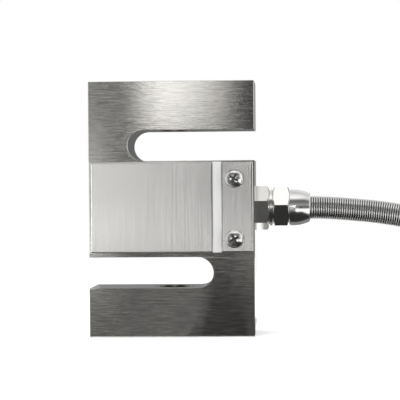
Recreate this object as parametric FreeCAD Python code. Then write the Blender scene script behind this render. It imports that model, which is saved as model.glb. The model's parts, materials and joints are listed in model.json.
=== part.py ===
"""S type load cell with a metal-armoured cable, in millimetres.

The S block stands on its lower arm. Z is the load axis, from the lower thread up through the upper one.
The origin is the mouth of the lower thread, at the middle of the bottom face.
+X points to the cable gland, and -Y to the front cover.
"""

import math
import os

import FreeCAD
import Part

V = FreeCAD.Vector
X, Y, Z = V(1, 0, 0), V(0, 1, 0), V(0, 0, 1)

# --- driving dimensions -------------------------------------------------------------------------

# S block
BODY_W = 50.8
BODY_T = 25.4
ARM_H = 14.95
SLOT_H = 9.5
BEAM_H = 29.5  # the middle section that bends
UPPER_SLOT_WALL = 12.0  # from the left side to the closed end of the upper slot
LOWER_SLOT_WALL = 12.7  # from the right side to the closed end of the lower slot
EDGE_BREAK = 0.15
THREAD_D = 12.0  # M12 through each arm
THREAD_MOUTH = 0.4  # countersink at both ends of each thread
RECESS_MARGIN = 0.25  # how far the cover recess reaches past the middle section
RECESS_DEPTH = 1.0

# gauge pocket, a dog-bone through the middle section
POCKET_R = 10.0
POCKET_END_WALL = 6.4  # from each end of the pocket to the block's side
POCKET_WAIST_H = 13.0
GAUGE_L = 6.0
GAUGE_W = 5.0
GAUGE_T = 0.2

# covers
SHEET_T = 0.8
GASKET_T = 0.2
COVER_END_GAP = 0.35  # from each end of the cover to the block's side
COVER_H = 27.8
COVER_TOP_GAP = 0.6  # to the upper wall of the recess
COVER_STEP = 2.7  # the box stands this far above the flange
STEP_FROM_RIGHT = 12.3  # from the right edge of the cover to the top of its step
BOX_BEND_R = 0.9
STEP_BEND_R = 1.1
STEP_FOOT_R = 0.5
FLANGE_BEND_R = 0.6
COVER_ROUND = 0.5
GASKET_MARGIN = 0.5  # from the pocket's edge to the gasket's window

# cover screws, M3 pan head with a cross recess
SCREW_D = 3.0
SCREW_HOLE_PLAY = 0.2
SCREW_PITCH = 18.44
SCREW_FROM_RIGHT = 6.2  # from the right side of the block
SCREW_HEAD_D = 5.6
SCREW_HEAD_H = 2.2
SCREW_RIM_H = 0.9
SCREW_GRIP = 4.8  # thread in the block
SCREW_HOLE_EXTRA = 1.2
CROSS_W = 0.75
CROSS_L = 3.0
CROSS_DEPTH = 1.4
THREAD_PLAY = 0.02  # between plain surfaces that stand for mating threads

# cable inside, and the terminal board it ends on
CABLE_D = 4.2
CABLE_END_IN = 3.0  # from the pocket's right end to the end of the cable's jacket
CORE_D = 0.9
CORE_SPREAD = 0.62
CORE_STRAIGHT = 3.5  # the stretch out of the cable's end
CORE_BEND = 4.5  # on to the middle of each core's bend
CORE_SWING = 2.2  # how far the bend swings to the front
CORE_DROP = 3.6  # the stretch down to each pad
CORE_FAN = 0.6  # how far towards its pad's height the core has come at its bend
BOARD_W = 8.0
BOARD_T = 1.0
BOARD_FACE = 2.0  # the board's front face, this far behind the middle of the block
PAD_PITCH = 3.0
PAD_W = 1.8
PAD_T = 0.15
PAD_INSET = 1.5

# gland, along X from the right side of the block
PORT_D = 10.0
STUB_L = 5.6
BODY_HEX_AF = 12.0
BODY_HEX_L = 4.2
BODY_HEX_TILT = 11.1  # one flat looks this many degrees below -Y
SPIGOT_D = 8.8
SPIGOT_L = 4.4
CABLE_BORE_D = 4.5
SEAL_POCKET_D = 7.0
SEAL_POCKET_L = 3.0
WASHER_T = 0.6
RING_D = 11.3
RING_L = 1.3
RING_BEVEL = 0.35
O_RING_T = 1.2
NUT_GAP = 0.1
NUT_AF = 12.0
NUT_L = 4.8
NUT_TILT = 22.0
NUT_LIP = 0.8
HEX_CORNER_CUT = 0.5  # how far each corner is turned back along the axis
INSERT_FLANGE_L = 0.9
INSERT_NECK_D = 7.6
INSERT_SOCKET_L = 2.4
SLIDE_PLAY = 0.05

# hose and its ferrule
HOSE_D = 7.2
FERRULE_D = 11.2
FERRULE_END_D = 9.0
FERRULE_L = 6.5
FERRULE_STRAIGHT_L = 1.95
FERRULE_LIP_L = 0.25
FERRULE_BULGE = 0.22  # how far the taper's middle stands out from a straight cone

# coil of the rest of the hose, lying on the floor behind the gland's end
COIL_X = 117.4
COIL_FRONT_Y = -8.0  # where the hose runs into the outer turn
COIL_OUTER_TURN_R = 40.3
COIL_LAYERS = 4

# the hose's far end, lying on the coil; angles are degrees round the coil
TAIL_FROM, TAIL_TO = 0.0, 60.0
TAIL_RISE = (-3.6, -1.4, 2.3, 4.0, 4.2)  # the tail's middle over the coil's top, in even steps round it
END_FERRULE_D = 8.4
END_FERRULE_L = 12.0
CABLE_GRIP = 2.0  # how far inside the end ferrule the free cable starts
CABLE_LEAD_OUT = 1.2  # the free cable's straight stretch outside the end ferrule
FREE_CABLE_STEPS = ((30, 2.9, 1.1), (41, 1.7, 0.1), (52, 0.2, 0.0))  # degrees on, out from the tail's turn, and up
LEAD_D = 1.1
SHIELD_D = 0.8
LEAD_RING_R = 1.2
LEAD_FAN = 1.75  # sideways distance between the leads' tips
FAN_ORDER = (0, 2, 1, -1, -2)  # each lead's place across the fan
LEAD_STEPS = ((6.4, 0.6), (10.2, 0.9), (14.4, 1.0))  # along the fan, and how far it has opened there

# --- places that follow from them ---------------------------------------------------------------

BODY_H = 2 * ARM_H + 2 * SLOT_H + BEAM_H
MID_Z = BODY_H / 2
LEFT, RIGHT = -BODY_W / 2, BODY_W / 2
FRONT = -BODY_T / 2
SLOT_R = SLOT_H / 2
RECESS_FLOOR = FRONT + RECESS_DEPTH
COVER_BACK = RECESS_FLOOR - GASKET_T
FLANGE_FACE = COVER_BACK - SHEET_T
BOX_FACE = FLANGE_FACE - COVER_STEP
COVER_TOP = MID_Z + BEAM_H / 2 + RECESS_MARGIN - COVER_TOP_GAP
COVER_BOTTOM = COVER_TOP - COVER_H
COVER_LEFT, COVER_RIGHT = LEFT + COVER_END_GAP, RIGHT - COVER_END_GAP
STEP_TOP_X = COVER_RIGHT - STEP_FROM_RIGHT
STEP_FOOT_X = STEP_TOP_X + COVER_STEP
SCREW_X = RIGHT - SCREW_FROM_RIGHT
POCKET_END = RIGHT - POCKET_END_WALL
POCKET_X = POCKET_END - POCKET_R  # the middle of each bore, to either side
RING_START = RIGHT + BODY_HEX_L + NUT_GAP / 2
NUT_START = RING_START + RING_L + NUT_GAP
NUT_END = NUT_START + NUT_L
SPIGOT_END = RIGHT + BODY_HEX_L + SPIGOT_L
SEAL_START = SPIGOT_END - SEAL_POCKET_L
WASHER_START = SPIGOT_END - WASHER_T
INSERT_START = SPIGOT_END + NUT_GAP
INSERT_NECK_START = INSERT_START + INSERT_FLANGE_L
FERRULE_START = NUT_END + NUT_GAP
HOSE_START = FERRULE_START + INSERT_SOCKET_L
FERRULE_END = FERRULE_START + FERRULE_L
CABLE_START = POCKET_END - CABLE_END_IN
COIL_CENTRE = V(COIL_X, COIL_FRONT_Y + COIL_OUTER_TURN_R, 0)
COIL_INNER_TURN_R = COIL_OUTER_TURN_R - HOSE_D
TAIL_TURN_R = (COIL_OUTER_TURN_R + COIL_INNER_TURN_R) / 2
COIL_H = COIL_LAYERS * HOSE_D

# The hose's route from the ferrule to where it joins the coil's top layer, points chosen by hand.
HOSE_ROUTE = [
    (HOSE_START, 0.0, MID_Z),
    (46.0, 0.0, MID_Z),
    (55.0, -0.1, 38.5),
    (64.5, -0.6, 37.6),
    (76.0, -2.0, 35.6),
    (88.0, -4.6, 32.2),
    (99.0, -6.8, 28.2),
    (108.5, -7.9, 26.0),
]


# --- helpers ------------------------------------------------------------------------------------


def save(node, shape):
    solids = shape.Solids
    assert solids and all(s.isValid() and s.isClosed() for s in solids), node
    shape = solids[0] if len(solids) == 1 else Part.makeCompound(solids)
    shape.exportStep(f"parts/{node}.step")
    print(f"{node:22s} {len(solids)} solid(s) {shape.Volume:10.2f} mm3")


def box(x0, x1, y0, y1, z0, z1):
    return Part.makeBox(x1 - x0, y1 - y0, z1 - z0, V(x0, y0, z0))


def rod(start, end, radius):
    """A cylinder between two points."""
    axis = end - start
    return Part.makeCylinder(radius, axis.Length, start, axis)


def gland_rod(x0, x1, diameter):
    """A cylinder on the gland's axis."""
    return rod(V(x0, 0, MID_Z), V(x1, 0, MID_Z), diameter / 2)


def turned(profile):
    """Turn a closed outline of (x, radius) points about the gland's axis."""
    points = [V(x, 0, MID_Z + r) for x, r in profile]
    face = Part.Face(Part.makePolygon(points + points[:1]))
    return face.revolve(V(0, 0, MID_Z), X, 360)


def hexagon(x0, x1, across_flats, tilt):
    """A hexagonal bar along X. One flat looks tilt degrees below -Y."""
    radius = across_flats / math.sqrt(3)
    angles = [math.radians(180 + tilt + 30 + 60 * k) for k in range(6)]
    points = [V(x0, radius * math.cos(a), MID_Z + radius * math.sin(a)) for a in angles]
    return Part.Face(Part.makePolygon(points + points[:1])).extrude(X * (x1 - x0))


def hexagon_nut(x0, x1, across_flats, tilt, left_cut, right_cut):
    """A hexagon whose corners are turned back to the flats at its ends."""
    corner = across_flats / math.sqrt(3)
    flat = across_flats / 2
    lathe = turned(
        [
            (x0, 0),
            (x0, flat - (0 if left_cut else flat - corner)),
            (x0 + left_cut, corner),
            (x1 - right_cut, corner),
            (x1, flat - (0 if right_cut else flat - corner)),
            (x1, 0),
        ]
    )
    return hexagon(x0, x1, across_flats, tilt).common(lathe)


def bend_radii(points):
    """The radius of the arc at each inner point of a route: 0.45 of the shorter run over the tangent of half the turn."""
    radii = []
    for a, b, c in zip(points, points[1:], points[2:]):
        half_turn = (b - a).getAngle(c - b) / 2
        radii.append(0.45 * min((b - a).Length, (c - b).Length) / math.tan(half_turn))
    return radii


def route_wire(points):
    """Straight runs joined by tangent arcs."""
    edges, start = [], points[0]
    for a, b, c, radius in zip(points, points[1:], points[2:], bend_radii(points)):
        back, on = (a - b).normalize(), (c - b).normalize()
        half_turn = (b - a).getAngle(c - b) / 2
        reach = radius * math.tan(half_turn)
        arc_in, arc_out = b + back * reach, b + on * reach
        to_centre = radius / math.cos(half_turn)
        middle = b + (back + on).normalize() * (to_centre - radius)
        edges.append(Part.LineSegment(start, arc_in).toShape())
        edges.append(Part.Arc(arc_in, middle, arc_out).toShape())
        start = arc_out
    edges.append(Part.LineSegment(start, points[-1]).toShape())
    return Part.Wire(edges)


def tube(name, points, diameter):
    """A round solid along a route."""
    points = [V(*p) for p in points]
    wire = route_wire(points)
    ring = Part.makeCircle(diameter / 2, points[0], points[1] - points[0])
    solid = wire.makePipeShell([Part.Wire(ring)], True, False)
    should_be = math.pi * diameter**2 / 4 * wire.Length
    radii = ", ".join(f"{r:.0f}" for r in bend_radii(points))
    print(f"{name}: {wire.Length:.1f} mm, volume ratio {solid.Volume / should_be:.4f}, bends {radii} mm")
    return solid


# --- S block ------------------------------------------------------------------------------------


def s_outline():
    """The S in the XZ plane at the front face, with full-round slot ends."""
    upper_floor, upper_roof = BODY_H - ARM_H - SLOT_H, BODY_H - ARM_H
    lower_floor, lower_roof = ARM_H, ARM_H + SLOT_H
    upper_end, lower_end = LEFT + UPPER_SLOT_WALL, RIGHT - LOWER_SLOT_WALL

    def p(x, z):
        return V(x, FRONT, z)

    def line(a, b):
        return Part.LineSegment(a, b).toShape()

    def slot_end(x, z0, z1, side):
        return Part.Arc(p(x, z0), p(x + side * SLOT_R, (z0 + z1) / 2), p(x, z1)).toShape()

    upper_x, lower_x = upper_end + SLOT_R, lower_end - SLOT_R
    edges = [
        line(p(LEFT, 0), p(RIGHT, 0)),
        line(p(RIGHT, 0), p(RIGHT, upper_floor)),
        line(p(RIGHT, upper_floor), p(upper_x, upper_floor)),
        slot_end(upper_x, upper_floor, upper_roof, -1),
        line(p(upper_x, upper_roof), p(RIGHT, upper_roof)),
        line(p(RIGHT, upper_roof), p(RIGHT, BODY_H)),
        line(p(RIGHT, BODY_H), p(LEFT, BODY_H)),
        line(p(LEFT, BODY_H), p(LEFT, lower_roof)),
        line(p(LEFT, lower_roof), p(lower_x, lower_roof)),
        slot_end(lower_x, lower_roof, lower_floor, 1),
        line(p(lower_x, lower_floor), p(LEFT, lower_floor)),
        line(p(LEFT, lower_floor), p(LEFT, 0)),
    ]
    return Part.Wire(edges)


def thread_hole(z0, z1):
    """A plain hole at the thread's major diameter, countersunk at both ends."""
    r, c = THREAD_D / 2, THREAD_MOUTH
    profile = [(0, z0), (r + c, z0), (r, z0 + c), (r, z1 - c), (r + c, z1), (0, z1)]
    points = [V(x, 0, z) for x, z in profile]
    return Part.Face(Part.makePolygon(points + points[:1])).revolve(V(0, 0, 0), Z, 360)


def dog_bone(margin, y0, y1):
    """Two bores joined by a flat-sided waist, along Y."""
    bores = [
        rod(V(side * POCKET_X, y0, MID_Z), V(side * POCKET_X, y1, MID_Z), POCKET_R + margin)
        for side in (-1, 1)
    ]
    half_waist = POCKET_WAIST_H / 2 + margin
    waist = box(-POCKET_X, POCKET_X, y0, y1, MID_Z - half_waist, MID_Z + half_waist)
    return waist.fuse(bores).removeSplitter()


def screw_places():
    return [(SCREW_X, MID_Z + side * SCREW_PITCH / 2) for side in (1, -1)]


def facing_back(shape):
    """The same piece on the back, turned half a turn about the gland's axis."""
    turned_over = shape.copy()
    turned_over.rotate(V(0, 0, MID_Z), X, 180)
    return turned_over


def s_body():
    blank = Part.Face(s_outline()).extrude(Y * BODY_T)
    rims = [e for e in blank.Edges if abs(abs(e.CenterOfMass.y) - BODY_T / 2) < 1e-6]
    blank = blank.makeChamfer(EDGE_BREAK, rims)
    half_recess = BEAM_H / 2 + RECESS_MARGIN
    recess = box(LEFT - 1, RIGHT + 1, FRONT - 1, RECESS_FLOOR, MID_Z - half_recess, MID_Z + half_recess)
    hole_r = SCREW_D / 2 + THREAD_PLAY
    hole_end = RECESS_FLOOR + SCREW_GRIP + SCREW_HOLE_EXTRA
    front_cuts = [recess] + [rod(V(x, FRONT - 1, z), V(x, hole_end, z), hole_r) for x, z in screw_places()]
    port = gland_rod(0, RIGHT + 1, PORT_D + 2 * THREAD_PLAY)
    o_ring_seat = gland_rod(RIGHT - O_RING_T, RIGHT + 1, PORT_D + 2 * O_RING_T)
    cuts = front_cuts + [facing_back(c) for c in front_cuts]
    cuts += [thread_hole(0, ARM_H), thread_hole(BODY_H - ARM_H, BODY_H)]
    cuts += [dog_bone(0, FRONT - 1, -FRONT + 1), port, o_ring_seat]
    return blank.cut(cuts)


# --- covers, gaskets and their screws -----------------------------------------------------------


def rounded_outline(corners):
    """A closed outline in the XY plane from (x, y, corner radius), drawn at the cover's bottom."""
    edges, count = [], len(corners)
    points = [V(x, y, COVER_BOTTOM) for x, y, _ in corners]
    ends = []
    for k, (_, _, radius) in enumerate(corners):
        b, back, on = points[k], points[k - 1] - points[k], points[(k + 1) % count] - points[k]
        back, on = back.normalize(), on.normalize()
        half_turn = (back * -1).getAngle(on) / 2
        reach = radius * math.tan(half_turn)
        arc_in, arc_out = b + back * reach, b + on * reach
        if radius:
            middle = b + (back + on).normalize() * (radius / math.cos(half_turn) - radius)
            edges.append(Part.Arc(arc_in, middle, arc_out).toShape())
        ends.append((arc_in, arc_out))
    for k in range(count):
        edges.append(Part.LineSegment(ends[k][1], ends[(k + 1) % count][0]).toShape())
    return Part.Wire(Part.sortEdges(edges)[0])


def cover_outside():
    """The drawn box, its 45 degree step and the screw flange, as one solid block."""
    outline = rounded_outline(
        [
            (COVER_LEFT, COVER_BACK, 0),
            (COVER_LEFT, BOX_FACE, BOX_BEND_R),
            (STEP_TOP_X, BOX_FACE, STEP_BEND_R),
            (STEP_FOOT_X, FLANGE_FACE, STEP_FOOT_R),
            (COVER_RIGHT, FLANGE_FACE, FLANGE_BEND_R),
            (COVER_RIGHT, COVER_BACK, 0),
        ]
    )
    block = Part.Face(outline).extrude(Z * COVER_H)
    rims = [
        e
        for e in block.Edges
        if min(abs(e.CenterOfMass.z - z) for z in (COVER_BOTTOM, COVER_TOP)) < 1e-6
        and abs(e.CenterOfMass.y - COVER_BACK) > 1e-6
    ]
    return block.makeFillet(COVER_ROUND, rims)


def cover_inside():
    """What the sheet leaves hollow under the box."""
    slope_shift = SHEET_T * (math.sqrt(2) - 1)
    outline = [
        (COVER_LEFT + SHEET_T, COVER_BACK),
        (COVER_LEFT + SHEET_T, BOX_FACE + SHEET_T),
        (STEP_TOP_X - slope_shift, BOX_FACE + SHEET_T),
        (STEP_FOOT_X - slope_shift, FLANGE_FACE + SHEET_T),
    ]
    points = [V(x, y, COVER_BOTTOM + SHEET_T) for x, y in outline]
    return Part.Face(Part.makePolygon(points + points[:1])).extrude(Z * (COVER_H - 2 * SHEET_T))


def cover():
    holes = [
        rod(V(x, FLANGE_FACE - 1, z), V(x, COVER_BACK + 1, z), SCREW_D / 2 + SCREW_HOLE_PLAY)
        for x, z in screw_places()
    ]
    return cover_outside().cut([cover_inside()] + holes)


def gasket():
    """A thin seal under the whole cover, open over the pocket."""
    sheet = box(COVER_LEFT, COVER_RIGHT, COVER_BACK, RECESS_FLOOR, COVER_BOTTOM, COVER_TOP)
    window = dog_bone(GASKET_MARGIN, COVER_BACK - 1, RECESS_FLOOR + 1)
    holes = [
        rod(V(x, COVER_BACK - 1, z), V(x, RECESS_FLOOR + 1, z), SCREW_D / 2 + SCREW_HOLE_PLAY)
        for x, z in screw_places()
    ]
    return sheet.cut([window] + holes)


def cover_screw(x, z, turn):
    """A pan head screw with its shank along +Y."""
    head_r, top = SCREW_HEAD_D / 2, FLANGE_FACE - SCREW_HEAD_H
    rim = FLANGE_FACE - SCREW_RIM_H
    dome_middle = V(x + 0.72 * head_r, top + 0.3 * (rim - top), z)
    outline = [
        Part.LineSegment(V(x, FLANGE_FACE, z), V(x + head_r, FLANGE_FACE, z)).toShape(),
        Part.LineSegment(V(x + head_r, FLANGE_FACE, z), V(x + head_r, rim, z)).toShape(),
        Part.Arc(V(x + head_r, rim, z), dome_middle, V(x, top, z)).toShape(),
        Part.LineSegment(V(x, top, z), V(x, FLANGE_FACE, z)).toShape(),
    ]
    head = Part.Face(Part.Wire(outline)).revolve(V(x, 0, z), Y, 360)
    shank = rod(V(x, FLANGE_FACE, z), V(x, RECESS_FLOOR + SCREW_GRIP, z), SCREW_D / 2)
    cross_end = top + CROSS_DEPTH
    bars = []
    for angle in (turn, turn + 90):
        bar = box(x - CROSS_L / 2, x + CROSS_L / 2, top - 1, cross_end, z - CROSS_W / 2, z + CROSS_W / 2)
        bar.rotate(V(x, 0, z), Y, angle)
        bars.append(bar)
    return head.fuse(shank).cut(bars)


def cover_screws():
    turns = (28, 62)
    screws = [cover_screw(x, z, turn) for (x, z), turn in zip(screw_places(), turns)]
    return Part.makeCompound(screws)


# --- inside the pocket --------------------------------------------------------------------------


def gauge(side, level):
    """A foil gauge bonded to the thin wall of one bore."""
    x = side * POCKET_X
    ends = V(x, -GAUGE_W / 2, MID_Z), V(x, GAUGE_W / 2, MID_Z)
    shell = rod(*ends, POCKET_R).cut(rod(*ends, POCKET_R - GAUGE_T))
    z0, z1 = (MID_Z, MID_Z + POCKET_R + 1) if level > 0 else (MID_Z - POCKET_R - 1, MID_Z)
    return shell.common(box(x - GAUGE_L / 2, x + GAUGE_L / 2, -GAUGE_W, GAUGE_W, z0, z1))


def pad_places():
    return [(BOARD_W / 2 - PAD_INSET, MID_Z + PAD_PITCH * (k - 1.5)) for k in range(4)]


def terminal_board():
    """Bonded across the pocket's waist, with four solder pads towards the cable."""
    half = POCKET_WAIST_H / 2
    board = box(-BOARD_W / 2, BOARD_W / 2, BOARD_FACE, BOARD_FACE + BOARD_T, MID_Z - half, MID_Z + half)
    pads = [
        box(x - PAD_W / 2, x + PAD_W / 2, BOARD_FACE - PAD_T, BOARD_FACE, z - PAD_W / 2, z + PAD_W / 2)
        for x, z in pad_places()
    ]
    return board.fuse(pads)


def core(name, index):
    """One core from the end of the cable to its pad."""
    pad_x, pad_z = pad_places()[index]
    across = CORE_SPREAD * (1 if index % 2 else -1)
    start_z = MID_Z + CORE_SPREAD * (1 if index > 1 else -1)
    bend_z = start_z + CORE_FAN * (pad_z - start_z)
    pad_face = BOARD_FACE - PAD_T
    route = [
        (CABLE_START, across, start_z),
        (CABLE_START - CORE_STRAIGHT, across, start_z),
        (CABLE_START - CORE_STRAIGHT - CORE_BEND, across - CORE_SWING, bend_z),
        (pad_x, pad_face - CORE_DROP, pad_z),
        (pad_x, pad_face, pad_z),
    ]
    return tube(name, route, CORE_D)


def signal_cable():
    return gland_rod(CABLE_START, HOSE_START, CABLE_D)


# --- gland --------------------------------------------------------------------------------------


def gland_body():
    stub = gland_rod(RIGHT - STUB_L, RIGHT, PORT_D)
    flats = hexagon_nut(RIGHT, RIGHT + BODY_HEX_L, BODY_HEX_AF, BODY_HEX_TILT, 0, HEX_CORNER_CUT)
    spigot = gland_rod(RIGHT + BODY_HEX_L, SPIGOT_END, SPIGOT_D)
    bores = [
        gland_rod(RIGHT - STUB_L - 1, SPIGOT_END + 1, CABLE_BORE_D),
        gland_rod(SEAL_START, SPIGOT_END + 1, SEAL_POCKET_D),
    ]
    return stub.fuse([flats, spigot]).cut(bores)


def gland_o_ring():
    """A square-cut ring round the stub, between the block and the first hexagon."""
    outer = gland_rod(RIGHT - O_RING_T, RIGHT, PORT_D + 2 * O_RING_T)
    return outer.cut(gland_rod(RIGHT - O_RING_T - 1, RIGHT + 1, PORT_D))


def gland_seal():
    ring = gland_rod(SEAL_START, WASHER_START, SEAL_POCKET_D)
    return ring.cut(gland_rod(SEAL_START - 1, WASHER_START + 1, CABLE_D))


def gland_clamp_washer():
    ring = gland_rod(WASHER_START, INSERT_START, SEAL_POCKET_D)
    return ring.cut(gland_rod(WASHER_START - 1, INSERT_START + 1, CABLE_BORE_D))


def gland_lock_ring():
    r, c = RING_D / 2, RING_BEVEL
    inner = SPIGOT_D / 2 + THREAD_PLAY
    end = RING_START + RING_L
    return turned([(RING_START, inner), (RING_START, r - c), (RING_START + c, r), (end - c, r), (end, r - c), (end, inner)])


def gland_nut():
    flats = hexagon_nut(NUT_START, NUT_END, NUT_AF, NUT_TILT, HEX_CORNER_CUT, HEX_CORNER_CUT)
    thread = gland_rod(NUT_START - 1, NUT_END - NUT_LIP, SPIGOT_D + 2 * THREAD_PLAY)
    lip = gland_rod(NUT_START, NUT_END + 1, INSERT_NECK_D + 2 * SLIDE_PLAY)
    return flats.cut([thread, lip])


def hose_insert():
    """The tail piece: a flange that the nut pulls against the washer, and a neck in the ferrule."""
    flange = gland_rod(INSERT_START, INSERT_NECK_START, SPIGOT_D - 2 * SLIDE_PLAY)
    neck = gland_rod(INSERT_NECK_START, HOSE_START, INSERT_NECK_D)
    return flange.fuse(neck).cut(gland_rod(INSERT_START - 1, HOSE_START + 1, CABLE_BORE_D))


def ferrule_profile(start, length, straight, wide_r, narrow_r, bulge, lip):
    """The crimp ferrule's outline from its axis: a short cylinder, a bulging taper and a rounded lip."""
    z = MID_Z
    taper_start, taper_end, end = start + straight, start + length - lip, start + length
    middle = V((taper_start + taper_end) / 2, 0, z + (wide_r + narrow_r) / 2 + bulge)
    corner = [V(start, 0, z), V(start, 0, z + wide_r - lip), V(start + lip, 0, z + wide_r)]
    edges = [Part.LineSegment(a, b).toShape() for a, b in zip(corner, corner[1:])]
    shoulder, toe = V(taper_start, 0, z + wide_r), V(taper_end, 0, z + narrow_r)
    edges.append(Part.LineSegment(corner[-1], shoulder).toShape())
    edges.append(Part.Arc(shoulder, middle, toe).toShape())
    rest = [toe, V(end, 0, z + narrow_r - lip), V(end, 0, z), corner[0]]
    edges += [Part.LineSegment(a, b).toShape() for a, b in zip(rest, rest[1:])]
    return Part.Wire(edges)


def hose_ferrule():
    outline = ferrule_profile(
        FERRULE_START,
        FERRULE_L,
        FERRULE_STRAIGHT_L,
        FERRULE_D / 2,
        FERRULE_END_D / 2,
        FERRULE_BULGE,
        FERRULE_LIP_L,
    )
    blank = Part.Face(outline).revolve(V(0, 0, MID_Z), X, 360)
    neck_bore = gland_rod(FERRULE_START - 1, HOSE_START, INSERT_NECK_D)
    return blank.cut([neck_bore, gland_rod(FERRULE_START, FERRULE_END + 1, HOSE_D)])


# --- hose, coil and free end --------------------------------------------------------------------


def hose_coil():
    """The closed shape of the coil: two turns wide and four high, with the turns' own roundness."""
    r = HOSE_D / 2
    inner, outer = COIL_INNER_TURN_R - r, COIL_OUTER_TURN_R + r
    ring = Part.makeCylinder(outer, COIL_H, COIL_CENTRE).cut(Part.makeCylinder(inner, COIL_H, COIL_CENTRE))
    return ring.makeFillet(r * 0.9, [e for e in ring.Edges if isinstance(e.Curve, Part.Circle)])


def hose_run():
    return tube("hose_run", HOSE_ROUTE, HOSE_D).cut(hose_coil())


def on_coil(radius, degrees, z):
    a = math.radians(degrees)
    return COIL_CENTRE + V(radius * math.cos(a), radius * math.sin(a), z)


def tail_points():
    step = (TAIL_TO - TAIL_FROM) / (len(TAIL_RISE) - 1)
    return [on_coil(TAIL_TURN_R, TAIL_FROM + k * step, COIL_H + rise) for k, rise in enumerate(TAIL_RISE)]


def hose_tail():
    """The last of the hose, rising out of the coil to lie on it."""
    return tube("hose_tail", tail_points(), HOSE_D).cut(hose_coil())


def end_axis():
    """Where the hose ends, and the direction in which it points there."""
    before, start = tail_points()[-2:]
    return start, (start - before).normalize()


def hose_end_ferrule():
    start, way = end_axis()
    sleeve = rod(start, start + way * END_FERRULE_L, END_FERRULE_D / 2)
    return sleeve.cut(rod(start + way * CABLE_GRIP, start + way * (END_FERRULE_L + 1), CABLE_D / 2))


def free_cable_route():
    """The free cable, from inside the end ferrule down onto the coil and on round it."""
    start, way = end_axis()
    lie = COIL_H + CABLE_D / 2
    held = [start + way * CABLE_GRIP, start + way * (END_FERRULE_L + CABLE_LEAD_OUT)]
    return held + [on_coil(TAIL_TURN_R + out, TAIL_TO + turn, lie + up) for turn, out, up in FREE_CABLE_STEPS]


def cable_tail():
    return tube("cable_tail", free_cable_route(), CABLE_D)


def lead(name, index, diameter):
    """One free lead, fanned out from the cable's end and lying on the coil."""
    before, start = free_cable_route()[-2:]
    way = (start - before).normalize()
    side = Z.cross(way).normalize()
    up = way.cross(side)
    place = math.radians(90 - 360 * index / len(FAN_ORDER))
    across, above = LEAD_RING_R * math.cos(place), LEAD_RING_R * math.sin(place)
    begin = start + side * across + up * above
    lie = COIL_H + diameter / 2
    points = [begin, begin + way * 2.6]
    for along, share in LEAD_STEPS:
        inward = along**2 / (2 * TAIL_TURN_R)
        p = start + way * along + side * (across * (1 - share) + LEAD_FAN * share * FAN_ORDER[index] + inward)
        p.z = lie + (begin.z - lie) * max(0.0, 0.9 - share)
        points.append(p)
    return tube(name, points, diameter)


# --- write every node ---------------------------------------------------------------------------


def main():
    os.makedirs("parts", exist_ok=True)
    front = {"cover": cover(), "gasket": gasket(), "cover_screws": cover_screws()}
    nodes = {"s_body": s_body()}
    for name, shape in front.items():
        nodes[f"front_{name}"] = shape
        nodes[f"back_{name}"] = facing_back(shape)
    for side, side_name in ((-1, "left"), (1, "right")):
        for level, level_name in ((1, "upper"), (-1, "lower")):
            nodes[f"gauge_{level_name}_{side_name}"] = gauge(side, level)
    nodes["terminal_board"] = terminal_board()
    colours = ("red", "black", "green", "white")
    for index, colour in enumerate(colours):
        nodes[f"core_{colour}"] = core(f"core_{colour}", index)
    nodes["signal_cable"] = signal_cable()
    for make in (gland_body, gland_o_ring, gland_seal, gland_clamp_washer, gland_lock_ring, gland_nut):
        nodes[make.__name__] = make()
    for make in (hose_insert, hose_ferrule, hose_run, hose_coil, hose_tail, hose_end_ferrule, cable_tail):
        nodes[make.__name__] = make()
    for index, colour in enumerate(colours):
        nodes[f"lead_{colour}"] = lead(f"lead_{colour}", index, LEAD_D)
    nodes["lead_shield"] = lead("lead_shield", len(colours), SHIELD_D)
    for node, shape in nodes.items():
        save(node, shape)


main()
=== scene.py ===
"""The look of the s type load cell: finishes, armoured hose, free cable and studio.

The file is laid out as an add-on: sizes and colours are properties, each piece or group of like pieces has
an operator, and one panel lists them. Run as a script it makes everything in order. Lengths are in metres.
"""

import json
import math

import bpy
import numpy as np
from mathutils import Matrix, Vector


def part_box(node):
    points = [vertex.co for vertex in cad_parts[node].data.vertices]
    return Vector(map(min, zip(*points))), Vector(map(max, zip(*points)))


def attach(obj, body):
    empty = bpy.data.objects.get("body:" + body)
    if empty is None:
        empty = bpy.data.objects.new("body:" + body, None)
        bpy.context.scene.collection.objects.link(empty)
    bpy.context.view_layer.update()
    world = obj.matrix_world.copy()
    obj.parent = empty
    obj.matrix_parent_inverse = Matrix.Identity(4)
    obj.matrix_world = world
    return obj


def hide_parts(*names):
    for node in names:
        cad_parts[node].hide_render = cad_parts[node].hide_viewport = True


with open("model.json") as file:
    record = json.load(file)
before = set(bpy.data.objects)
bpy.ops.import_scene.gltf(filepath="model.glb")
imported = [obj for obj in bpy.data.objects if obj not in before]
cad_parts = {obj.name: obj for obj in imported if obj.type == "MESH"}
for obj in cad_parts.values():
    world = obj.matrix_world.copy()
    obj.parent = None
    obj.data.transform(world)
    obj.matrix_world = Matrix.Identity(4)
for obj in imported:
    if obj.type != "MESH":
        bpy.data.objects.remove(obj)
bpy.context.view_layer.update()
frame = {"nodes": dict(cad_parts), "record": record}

bl_info = {
    "name": "S Type Load Cell Look",
    "version": (1, 0, 0),
    "blender": (4, 5, 0),
    "location": "View3D > Sidebar > Load Cell",
    "description": "Finishes, armoured hose, free cable and studio for an s type load cell",
    "category": "Object",
}

MM = 0.001
BLOCK_LOW, BLOCK_HIGH = (np.array(corner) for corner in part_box("s_body"))

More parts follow.
